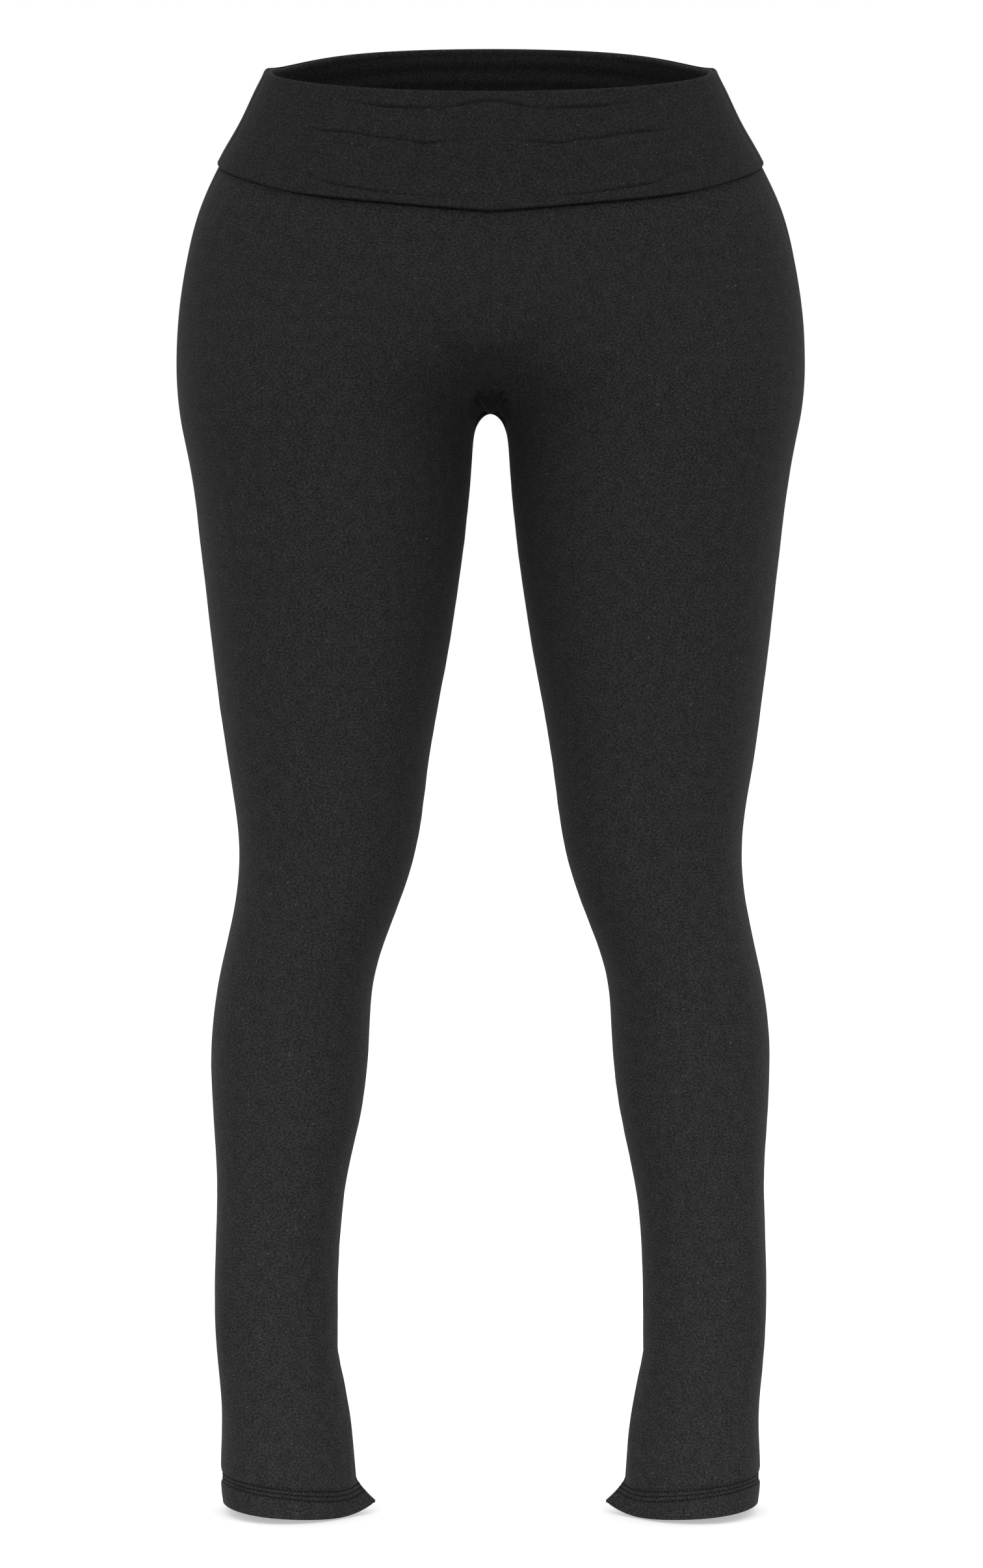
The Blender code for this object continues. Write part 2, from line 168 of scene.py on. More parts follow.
LEG_WALL = 0.0010          # one layer of jersey
HEM_WALL = 0.0019          # two layers, at the turned hem
BAND_WALL = 0.0016         # the doubled band
STRETCH = 1.10             # the worn cloth is this much wider than its cut
FRONT_RISE_CURVE = 0.012   # a panel's cut is this much longer than its drop, for its rise
BACK_RISE_CURVE = 0.034
HEM_STEP = 0.002           # the wall grows to two layers over this height
SLIT_STEP = 0.003          # and does so beside the slit over this height
SLIT_EDGE_STEP = 0.001     # and this width
THIN_EDGE = 0.03           # share of the half wall at which a rounded edge begins

LIP_RADIUS = 0.0016        # each panel's edge rolls in towards its seam over this width
LIP_DEPTH = 0.0011
SEWN_FADE = 0.004          # the inseam's lip dies out this far above the slit
CROTCH_FADE = 0.008        # and this close to the crotch point, where four panels meet
FRONT_RISE_DEPTH = 0.00012 # the front rise seam is pressed flat and hardly shows,
FRONT_RISE_START = 0.004   # from this far above the crotch point
FRONT_RISE_FADE = 0.020
BAND_LIP_SHARE = 0.7       # the lip at the band's side seams is this much of the others
PUCKER_HEIGHT = 0.00016    # small waves beside a seam, and how far they reach
PUCKER_REACH = 0.006
PUCKER_LENGTH = 0.009

NEEDLE_ROWS = (-0.9081, -0.9109, -0.9137)   # levels of the three rows of coverstitch
STITCH_LENGTH = 0.0023
STITCH_STEP = 0.0025
STITCH_SLANT = 0.00025     # each stitch lies a little askew
STITCH_END = 0.003         # a row leaves at least this much bare, both ends together
THREAD_RADIUS = 0.00034
ROW_BITE = 0.0015          # how deep a needle row pulls the cloth in
ROW_WIDTH = 0.0013
ROW_END = 0.002            # the bite ends this far from the slit's edge
ROW_FADE = 0.010           # and is full this much further in
ROW_TILT = 0.10            # the rows fall this much per metre towards the other leg
SLIT_FOLD = 0.0046         # the slit's edge is turned back along a fold this far in
SLIT_FOLD_HEIGHT = 0.0006
SLIT_FOLD_WIDTH = 0.0013
SLIT_FOLD_FADE = 0.020     # and shows more and more over this height below the slit's top


def column(table, names, name):
    """One named column of a table of rows, as an array."""
    return np.array([row[names.index(name)] for row in table])


def smooth_curve(at, known_at, known):
    """The natural cubic spline through known points: smooth, with straight ends."""
    order = np.argsort(known_at)
    x, y = known_at[order], known[order]
    step = np.diff(x)
    rise = np.diff(y) / step
    system = np.eye(len(x))
    right = np.zeros(len(x))
    for i in range(1, len(x) - 1):
        system[i, i - 1 : i + 2] = step[i - 1], 2 * (step[i - 1] + step[i]), step[i]
        right[i] = 6 * (rise[i] - rise[i - 1])
    bend = np.linalg.solve(system, right)
    at = np.clip(at, x[0], x[-1])
    i = np.clip(np.searchsorted(x, at) - 1, 0, len(step) - 1)
    ahead, behind = x[i + 1] - at, at - x[i]
    return (
        (bend[i] * ahead**3 + bend[i + 1] * behind**3) / (6 * step[i])
        + (y[i] / step[i] - bend[i] * step[i] / 6) * ahead
        + (y[i + 1] / step[i] - bend[i + 1] * step[i] / 6) * behind
    )


def ease(t):
    """0 up to t = 0, 1 from t = 1, and between them three t squared less two t cubed."""
    t = np.clip(t, 0.0, 1.0)
    return t * t * (3 - 2 * t)


def bell(away, width):
    """1 in the middle, and e to the minus square of the distance in widths beside it."""
    return np.exp(-((away / width) ** 2))


def soft_noise(u, v, size, seed):
    """Smooth random heights from -1 to 1: random values on a net, eased between knots."""
    net = 64
    knots = np.random.default_rng(seed).uniform(-1, 1, (net, net))
    i, j = u / size, v / size
    i0, j0 = np.floor(i).astype(int), np.floor(j).astype(int)
    a, b = ease(i - i0), ease(j - j0)
    low = knots[i0 % net, j0 % net] * (1 - a) + knots[(i0 + 1) % net, j0 % net] * a
    high = knots[i0 % net, (j0 + 1) % net] * (1 - a) + knots[(i0 + 1) % net, (j0 + 1) % net] * a
    return low * (1 - b) + high * b


# ---------------- the body form


def section(level, name):
    """One line of the body sections at any level, as a smooth curve through the table."""
    return smooth_curve(
        level,
        column(SECTIONS, SECTION_COLUMNS, "level"),
        column(SECTIONS, SECTION_COLUMNS, name),
    )


def spread(x):
    """Distance from the middle plane, rounded off near it into a soft valley: the long
    side of a right triangle whose other sides are x and CROTCH_ROUND."""
    return np.hypot(x, CROTCH_ROUND)


def power(value, exponent):
    """A power that keeps its sign, so that it goes on smoothly through zero."""
    return np.sign(value) * np.abs(value) ** exponent


def sides(level, is_front):
    """Spread distances of a leg's outer, crest and inner lines, the y of its sides and its
    depth. The crest is half way; above the crotch it and the inner line move past the
    middle plane, so that the two legs run together."""
    outer = spread(section(level, "outer"))
    known_inner = spread(column(INNER_LINE, INNER_COLUMNS, "inner"))
    inner = smooth_curve(level, column(INNER_LINE, INNER_COLUMNS, "level"), known_inner)
    rise = np.maximum(level - CROTCH, 0.0)
    crest = (outer + inner - MERGE_START * rise) / 2
    if is_front:
        flap_level = column(FLAP, FLAP_COLUMNS, "level")
        inner = inner - smooth_curve(level, flap_level, column(FLAP, FLAP_COLUMNS, "inward"))
    inner = inner - MERGE_START * rise - MERGE_GROWTH * rise**MERGE_POWER
    side_y = section(level, "side_y")
    depth = side_y - section(level, "front_y") if is_front else section(level, "back_y") - side_y
    return outer, crest, inner, side_y, depth


def thickness_power(at, level, outer, crest, inner):
    """How deep the form is at a spread distance: 1 at the crest, 0 at its sides.

    A leg is 1 less the square of the share of the way from crest to side, the body is 1
    less a power of the share of the way to the outer line, and above the crotch the one
    runs into the other."""
    across = np.where(at > crest, (at - crest) / (outer - crest), (crest - at) / (crest - inner))
    leg = power(1 - across**2, FULLNESS / 2)
    down = ease(level / PARTING_TOP)
    squareness = WAIST_SQUARENESS + (HIP_SQUARENESS - WAIST_SQUARENESS) * down
    body = power(1 - (at / outer) ** squareness, FULLNESS / 2)
    parted = 1 - ease((level - CROTCH) / (PARTING_TOP - CROTCH))
    return power(parted * leg + (1 - parted) * body, 2 / FULLNESS)


def waist_rise(y):
    """How far the sloping waist lies above its sides, and how that grows with y: the slope
    times y, a little steeper at the centre back and flatter just behind the sides."""
    back = np.maximum(y, 0.0) / WAIST_BACK
    ahead = 1 - back
    rise = WAIST_SLOPE * y * (1 + WAIST_PEAK * back**2 - WAIST_DIP * back * ahead**3)
    dip_growth = 2 * back * ahead**3 - 3 * back**2 * ahead**2
    return rise, WAIST_SLOPE * (1 + 3 * WAIST_PEAK * back**2 - WAIST_DIP * dip_growth)


def slope_share(level):
    """Share of the waist's slope that shows at a level."""
    return ease((level - SLOPE_END) / (SLOPE_FULL - SLOPE_END))


def form(level, turn):
    """Points of the body form for the leg on the +X side.

    The spread distance is the crest plus the cosine of the turn times the way to the
    outer or inner line; y is that of the sides, less or plus the depth there; z is the
    level plus the waist's rise."""
    options = []
    for is_front in (True, False):
        outer, crest, inner, side_y, depth = sides(level, is_front)
        end = np.maximum(inner, CROTCH_ROUND)
        reach = np.where(np.cos(turn) > 0, outer - crest, crest - end)
        at = crest + reach * np.cos(turn)
        x = np.sqrt(np.maximum(at**2 - CROTCH_ROUND**2, 0.0))
        deep = np.maximum(thickness_power(at, level, outer, crest, inner), 0.0)
        y = side_y - (1 if is_front else -1) * depth * deep ** (FULLNESS / 2)
        z = level + waist_rise(y)[0] * slope_share(level)
        options.append(np.stack(np.broadcast_arrays(x, y, z), axis=-1))
    return np.where(turn[..., None] >= 0, options[0], options[1])


def outward(level, turn):
    """Unit normals of the form, from the slope of how far a point lies outside it."""
    point = form(level, turn)
    x, y = point[..., 0], point[..., 1]
    h = 1e-5       # a small step, in metres

    def outside(x, y, level):
        """Zero on the form: the share of its depth at (x, y), less what it has there."""
        options = []
        for is_front in (True, False):
            outer, crest, inner, side_y, depth = sides(level, is_front)
            deep = thickness_power(spread(x), level, outer, crest, inner)
            options.append(np.abs((y - side_y) / depth) ** (2 / FULLNESS) - deep)
        return np.where(turn >= 0, options[0], options[1])

    def slope(dx, dy, dlevel):
        """How fast that grows, from one small step ahead and one behind."""
        ahead = outside(x + dx, y + dy, level + dlevel)
        return (ahead - outside(x - dx, y - dy, level - dlevel)) / (2 * h)

    by_x, by_y, by_level = slope(h, 0, 0), slope(0, h, 0), slope(0, 0, h)
    share = slope_share(level)
    share_slope = (slope_share(level + h) - slope_share(level - h)) / (2 * h)
    rise, rise_growth = waist_rise(y)
    level_by_z = 1 / (1 + rise * share_slope)
    level_by_y = -rise_growth * share * level_by_z
    normal = np.stack((by_x, by_y + by_level * level_by_y, by_level * level_by_z), axis=-1)
    return normal / np.linalg.norm(normal, axis=-1, keepdims=True)


def hem_move(level, turn, points, is_front):
    """How the hem departs from the form: it falls a little towards the other leg, and
    the front corner beside the slit curls that way and lifts."""
    down = np.clip((CURL_START - level) / (CURL_START - HEM), 0.0, 1.0)
    near = ease((turn - CURL_TURN) / (np.pi - CURL_TURN)) if is_front else 0.0 * turn
    reach = CURL_REACH * down**1.5 * near**1.5
    lift = CURL_LIFT * down * near**2 + HEM_TILT * (points[..., 0] - HEM_MIDDLE) * down
    return np.stack((-reach, np.zeros_like(reach), lift), axis=-1)


# ---------------- creases

# Soft ridges (+) and troughs (-) of the leg panels, seen square on: place of the middle,
# angle to the level, length, how far the ends bend down, width and height, in metres
CREASE_COLUMNS = ("x", "z", "angle", "length", "bow", "width", "height")
FRONT_CREASES = (
    (0.0058, -0.2110, 47, 0.0200, 0.0000, 0.0008, 0.0027),
    (0.0046, -0.2099, 47, 0.0200, 0.0000, 0.0010, -0.0018),
    (0.0071, -0.2122, 47, 0.0190, 0.0000, 0.0011, -0.0020),
    (0.0108, -0.2165, 75, 0.0280, 0.0000, 0.0035, -0.0028),
    (0.0000, -0.2020, 90, 0.0640, 0.0000, 0.0100, -0.0060),
    (0.0240, -0.1800, 52, 0.0900, 0.0030, 0.0120, -0.0040),
    (0.0640, -0.1520, 74, 0.1000, -0.0040, 0.0140, 0.0012),
    (0.0640, -0.1100, -16, 0.0560, 0.0030, 0.0030, -0.0004),
    (0.1140, -0.2700, 86, 0.2400, 0.0060, 0.0160, 0.0006),
    (0.0998, -0.5000, 0, 0.0260, 0.0010, 0.0080, -0.0022),
    (0.1010, -0.4880, 4, 0.0800, 0.0060, 0.0110, -0.0006),
    (0.1060, -0.5130, -3, 0.0700, -0.0040, 0.0090, -0.0004),
    (0.1090, -0.4700, 6, 0.0700, 0.0080, 0.0100, 0.0004),
    (0.1280, -0.7560, 12, 0.0260, 0.0010, 0.0060, -0.0006),
    (0.1070, -0.7700, -14, 0.0300, 0.0010, 0.0060, -0.0006),
    (0.1060, -0.7960, -20, 0.0300, 0.0010, 0.0040, 0.0009),
    (0.1060, -0.8190, 18, 0.0300, 0.0010, 0.0040, 0.0011),
    (0.1090, -0.8080, 0, 0.0260, 0.0000, 0.0040, -0.0007),
    (0.1640, -0.8120, 88, 0.0640, 0.0010, 0.0060, -0.0026),
    (0.0915, -0.8700, 88, 0.1300, 0.0020, 0.0020, 0.0011),
)
BACK_CREASES = (
    (0.0600, -0.2600, -13, 0.0900, -0.0060, 0.0036, -0.0022),
    (0.0520, -0.2790, -22, 0.0700, -0.0040, 0.0030, -0.0017),
    (0.0660, -0.2700, -17, 0.0800, -0.0050, 0.0040, 0.0010),
    (0.0300, -0.2450, -38, 0.0500, 0.0000, 0.0030, -0.0014),
    (0.1040, -0.4760, 5, 0.0900, 0.0050, 0.0022, -0.0020),
    (0.1120, -0.4880, -4, 0.0760, 0.0040, 0.0018, -0.0024),
    (0.1060, -0.4990, 3, 0.0860, 0.0030, 0.0020, -0.0020),
    (0.1160, -0.5100, -7, 0.0700, 0.0040, 0.0019, -0.0022),
    (0.1120, -0.5230, 5, 0.0640, 0.0020, 0.0024, -0.0014),
    (0.1340, -0.7820, 4, 0.0560, 0.0030, 0.0024, -0.0014),
    (0.1420, -0.7990, -6, 0.0600, 0.0020, 0.0020, -0.0018),
    (0.1320, -0.8150, 7, 0.0520, 0.0030, 0.0022, -0.0015),
    (0.1440, -0.8330, -3, 0.0480, 0.0020, 0.0026, -0.0010),
    (0.1400, -0.6600, 8, 0.0700, 0.0050, 0.0100, 0.0005),
)
CREASE_CALM = 0.009        # creases die out this close to the inseam
CREASE_CALM_START = 0.002  # and this far above the crotch point
BACK_SHIFT = 0.004         # the two backs don't crease quite alike
LEFT_BACK_SHARE = 1.1      # and the left one creases a little more
RIGHT_BACK_SHARE = 1.0
SWELL_HEIGHT = 0.00022     # slow unevenness of worn jersey
SWELL_SIZE = 0.034

# Free edge of the folded band: how far it hangs below the fold, from the middle plane out
EDGE_COLUMNS = ("x", "drop")
FRONT_EDGE = (
    (0.0000, 0.0712),
    (0.0168, 0.0699),
    (0.0355, 0.0685),
    (0.0562, 0.0669),
    (0.0762, 0.0659),
    (0.0950, 0.0651),
    (0.1147, 0.0636),
    (0.1326, 0.0613),
    (0.1469, 0.0598),
    (0.1642, 0.0588),
    (0.1720, 0.0587),
)
BACK_EDGE = (
    (0.0000, 0.0610),
    (0.0500, 0.0612),
    (0.1000, 0.0606),
    (0.1400, 0.0596),
    (0.1720, 0.0587),
)

EDGE_PRESS = 0.0024        # the leg's cloth gives way this deep just under the free edge
EDGE_PRESS_BELOW = 0.0002  # the line's middle lies this far below the edge
EDGE_PRESS_WIDTH = 0.0008
UNDER_BAND_END = -0.076    # a level just below the free edge

# Tucks across the folded band, from the middle plane out
TUCK_COLUMNS = ("x", "drop", "strength")
FRONT_TUCKS = (
    (
        (0.0000, 0.0044, 0.60), (0.0075, 0.0051, 0.70), (0.0169, 0.0063, 0.80),
        (0.0274, 0.0080, 0.60), (0.0388, 0.0092, 0.45), (0.0543, 0.0090, 0.90),
        (0.0682, 0.0091, 1.00), (0.0776, 0.0088, 0.90), (0.0892, 0.0080, 0.50),
        (0.1003, 0.0072, 0.20), (0.1120, 0.0066, 0.00),
    ),
    (
        (0.0000, 0.0282, 0.05), (0.0150, 0.0283, 0.15), (0.0274, 0.0287, 0.50),
        (0.0412, 0.0300, 0.90), (0.0518, 0.0289, 0.65), (0.0588, 0.0280, 0.55),
        (0.0682, 0.0275, 0.85), (0.0739, 0.0270, 0.75), (0.0833, 0.0260, 0.50),
        (0.0915, 0.0254, 0.90), (0.1036, 0.0254, 0.75), (0.1134, 0.0258, 0.30),
        (0.1270, 0.0264, 0.00),
    ),
    (
        (0.0600, 0.0350, 0.00), (0.0739, 0.0341, 0.22), (0.0890, 0.0330, 0.30),
        (0.0985, 0.0324, 0.28), (0.1105, 0.0332, 0.18), (0.1230, 0.0338, 0.00),
    ),
    (
        (0.0860, 0.0412, 0.00), (0.0984, 0.0404, 0.22), (0.1038, 0.0397, 0.22),
        (0.1140, 0.0390, 0.00),
    ),
    (
        (0.0000, 0.0612, 0.00), (0.0217, 0.0617, 0.20), (0.0331, 0.0619, 0.40),
        (0.0481, 0.0608, 0.70), (0.0611, 0.0595, 0.90), (0.0705, 0.0583, 1.00),
        (0.0795, 0.0573, 0.90), (0.0914, 0.0556, 0.65), (0.0983, 0.0534, 0.45),
        (0.1078, 0.0512, 0.30), (0.1190, 0.0498, 0.00),
    ),
)
BACK_TUCKS = (
    (
        (0.0000, 0.0100, 0.70), (0.0200, 0.0104, 0.90), (0.0460, 0.0092, 0.80),
        (0.0750, 0.0074, 0.50), (0.1000, 0.0066, 0.00),
    ),
    (
        (0.0000, 0.0320, 0.80), (0.0240, 0.0314, 0.90), (0.0520, 0.0290, 0.70),
        (0.0860, 0.0272, 0.50), (0.1200, 0.0264, 0.00),
    ),
    (
        (0.0000, 0.0520, 0.80), (0.0300, 0.0514, 0.90), (0.0600, 0.0490, 0.70),
        (0.0920, 0.0472, 0.40), (0.1140, 0.0464, 0.00),
    ),
    (
        (0.0560, 0.0186, 0.00), (0.0740, 0.0180, 0.45), (0.0980, 0.0168, 0.40),
        (0.1220, 0.0160, 0.00),
    ),
)
TUCK_ROLL = 0.0008         # the cloth above a tuck hangs over it in a soft roll
TUCK_ROLL_ABOVE = 0.0036   # the roll rises over this height
TUCK_ROLL_BELOW = 0.0005   # and ends within this one
TUCK_DEPTH = 0.0014        # and a soft trough follows below
TUCK_TROUGH = 0.0012

FLAP_LIFT = 0.0019         # the free edge stands off most at the centre,
FLAP_LIFT_START = 0.80     # from this share of its drop
FLAP_EDGE_ROWS = 0.0009    # rows are crowded over about this height above the free edge
FLAP_FLARE = 1.08          # the free edge is this much longer than the band half way down
FLAP_SWELL = 0.0003        # slow unevenness of the folded layer
FLAP_SWELL_SIZE = 0.022
FLAP_SWELL_SQUASH = 1.6    # the swells are this much wider than high
FLAP_SWELL_START = 0.1     # share of the drop over which they begin

# Soft level rolls inside the band, where the stretched layers slacken
STAND_ROLL = 0.0009
STAND_ROLL_STEP = 0.0125
STAND_ROLL_START = 0.0020
STAND_ROLL_FADE = 0.004    # they die out this far below the fold
STAND_ROLL_WANDER = 0.9    # they wander up and down by this many radians of a roll
STAND_ROLL_WANDER_SIZE = 0.05


def crease_height(table, x, z):
    """Each crease is a bell across its bowed line and fades out along it."""
    height = np.zeros_like(x)
    for row in table:
        crease = dict(zip(CREASE_COLUMNS, row))
        angle = np.radians(crease["angle"])
        right, up = x - crease["x"], z - crease["z"]
        along = (right * np.cos(angle) + up * np.sin(angle)) / (crease["length"] / 2)
        across = up * np.cos(angle) - right * np.sin(angle) + crease["bow"] * along**2
        fade = np.clip(1 - along**2, 0.0, 1.0) ** 2
        height += crease["height"] * fade * bell(across, crease["width"])
    return height


def free_edge(x, edge):
    """How far the band's free edge hangs below the fold at x."""
    return smooth_curve(x, column(edge, EDGE_COLUMNS, "x"), column(edge, EDGE_COLUMNS, "drop"))


def tuck_height(tucks, x, drop):
    """Each tuck is a soft roll that ends short, with a trough under it."""
    height = np.zeros(np.broadcast(x, drop).shape)
    for knots in tucks:
        known_x = column(knots, TUCK_COLUMNS, "x")
        line = smooth_curve(x, known_x, column(knots, TUCK_COLUMNS, "drop"))
        strength = np.clip(np.interp(x, known_x, column(knots, TUCK_COLUMNS, "strength")), 0, 1)
        strength = strength * (x >= known_x[0]) * (x <= known_x[-1])
        below = drop - line
        roll = bell(below, np.where(below < 0, TUCK_ROLL_ABOVE, TUCK_ROLL_BELOW))
        trough = bell(below - TUCK_TROUGH, TUCK_TROUGH)
        height += strength * (TUCK_ROLL * roll - TUCK_DEPTH * trough)
    return height


# ---------------- meshes


def walked(points):
    """Length walked along each row of points, from 0 at its first point."""
    step = np.linalg.norm(np.diff(points, axis=-2), axis=-1)
    return np.concatenate((np.zeros(step.shape[:-1] + (1,)), np.cumsum(step, axis=-1)), axis=-1)


def points_at(at, along, line):
    """Points of a line at given lengths along it."""
    return np.stack([np.interp(at, along, line[:, k]) for k in range(3)], axis=-1)


def grid_faces(rows, columns):
    """Corners of each face of a rows x columns grid of points."""
    index = np.arange(rows * columns).reshape(rows, columns)
    corners = (index[:-1, :-1], index[1:, :-1], index[1:, 1:], index[:-1, 1:])
    return np.stack(corners, axis=-1).reshape(-1, 4)


def closed_wall(outer, inner):
    """Points and faces of a wall between two grids, closed along its four edges."""
    rows, columns = outer.shape[:2]
    faces = grid_faces(rows, columns)
    offset = rows * columns
    index = np.arange(offset).reshape(rows, columns)
    rim = np.concatenate((index[:, 0], index[-1, 1:], index[-2::-1, -1], index[0, -2:0:-1]))
    rim_next = np.roll(rim, -1)
    edge_faces = np.stack((rim, rim + offset, rim_next + offset, rim_next), axis=-1)
    points = np.concatenate((outer.reshape(-1, 3), inner.reshape(-1, 3)))
    return points, np.concatenate((faces, faces[:, ::-1] + offset, edge_faces))


def face_out(points, faces):
    """The faces, all turned round if they enclose a negative volume."""
    a, b, c, d = (points[faces[:, i]] for i in range(4))
    volume = np.einsum("ij,ij->", a, np.cross(b, c)) + np.einsum("ij,ij->", a, np.cross(c, d))
    return faces if volume > 0 else faces[:, ::-1]


def add_mesh(name, points, faces, material, cloth_map=None, sharp=50):
    """A new object at the origin. cloth_map gives each point's place on the cloth, across
    and down, in metres."""
    mesh = bpy.data.meshes.new(name)
    mesh.from_pydata(points.tolist(), [], faces.tolist())
    mesh.materials.append(material)
    mesh.shade_smooth()
    mesh.set_sharp_from_angle(angle=np.radians(sharp))
    if cloth_map is not None:
        layer = mesh.uv_layers.new(name="cloth")
        corner = np.empty(len(mesh.loops), dtype=np.int32)
        mesh.loops.foreach_get("vertex_index", corner)
        layer.uv.foreach_set("vector", cloth_map[corner].astype(np.float32).ravel())
    piece = bpy.data.objects.new(name, mesh)
    bpy.context.scene.collection.objects.link(piece)
    return piece


def tube(path, normal, radius, corners=6):
    """Points and faces of closed tubes. path and normal are (tubes, rings, 3); radius is
    one number or one for each ring. A ring is a circle square to the path, and each end
    is closed by two four-sided faces."""
    way = np.gradient(path, axis=1)
    way /= np.linalg.norm(way, axis=-1, keepdims=True)
    side = np.cross(way, normal)
    side /= np.linalg.norm(side, axis=-1, keepdims=True)
    up = np.cross(side, way)
    angle = np.linspace(0, 2 * np.pi, corners, endpoint=False)
    radius = np.broadcast_to(radius, path.shape[:2])[..., None, None]
    ring = np.cos(angle)[:, None] * side[..., None, :] + np.sin(angle)[:, None] * up[..., None, :]
    points = path[..., None, :] + radius * ring
    tubes, rings = path.shape[:2]
    index = np.arange(tubes * rings * corners).reshape(tubes, rings, corners)
    after = np.roll(index, -1, axis=2)
    walls = np.stack((index[:, :-1], after[:, :-1], after[:, 1:], index[:, 1:]), axis=-1)
    caps = []
    for ring_index, flip in ((index[:, 0], True), (index[:, -1], False)):
        for k in range(1, corners // 2):
            cap = ring_index[:, [k - 1, k, corners - 1 - k, corners - k]]
            caps.append(cap[:, ::-1] if flip else cap)
    faces = np.concatenate([walls.reshape(-1, 4)] + caps)
    return points.reshape(-1, 3), faces


# ---------------- leg panels


def panel_rows(is_front):
    """Levels of a leg panel's rows: even, but crowded at the crotch and at the hem, and
    on the front also where the band's free edge lies on it."""
    under_band, above_crotch = (45, 60) if is_front else (10, 38)
    near_crotch = 0.030
    hem_start, hem_edge = HEM_TURN + 0.004, 0.001
    return np.concatenate((
        np.linspace(WAIST_SEAM, UNDER_BAND_END, under_band)[:-1],
        np.linspace(UNDER_BAND_END, CROTCH + near_crotch, 43)[:-1],
        CROTCH + near_crotch * np.linspace(1, 0, above_crotch) ** 1.6,
        CROTCH - near_crotch * np.linspace(0, 1, 19)[1:] ** 2,
        np.linspace(CROTCH - near_crotch, hem_start, 221)[1:],
        np.linspace(hem_start, HEM + hem_edge, 56)[1:],
        HEM + hem_edge * (1 - np.linspace(0, 1, 6)[1:]) ** 2,
    ))


def panel_columns(is_front):
    """Share of a panel's width at each column: even, but crowded at both edges."""
    side_share, inner_share = 0.05, 0.06
    side_edge = side_share * np.linspace(0, 1, 14) ** 2
    inner_edge = inner_share * np.linspace(0, 1, 40 if is_front else 27) ** 1.5
    middle = np.linspace(side_share, 1 - inner_share, 42)[1:-1]
    return np.concatenate((side_edge, middle, 1 - inner_edge[::-1]))


def turn_across(share, is_front):
    """Turns from the side seam, at share 0, to a panel's inner line, at share 1."""
    end = np.pi if is_front else -np.pi
    return SIDE_SEAM_TURN + (end - SIDE_SEAM_TURN) * share


def lip(away, radius, depth):
    """How far an edge rolls in: a quarter round, at a distance from the edge."""
    t = 1 - np.clip(away / radius, 0.0, 1.0)
    return -depth * (1 - np.sqrt(1 - t**2))


def needle_row(row_level, x):
    """Level of a needle row: straight, and falling towards the other leg."""
    return row_level + ROW_TILT * (x - HEM_MIDDLE)


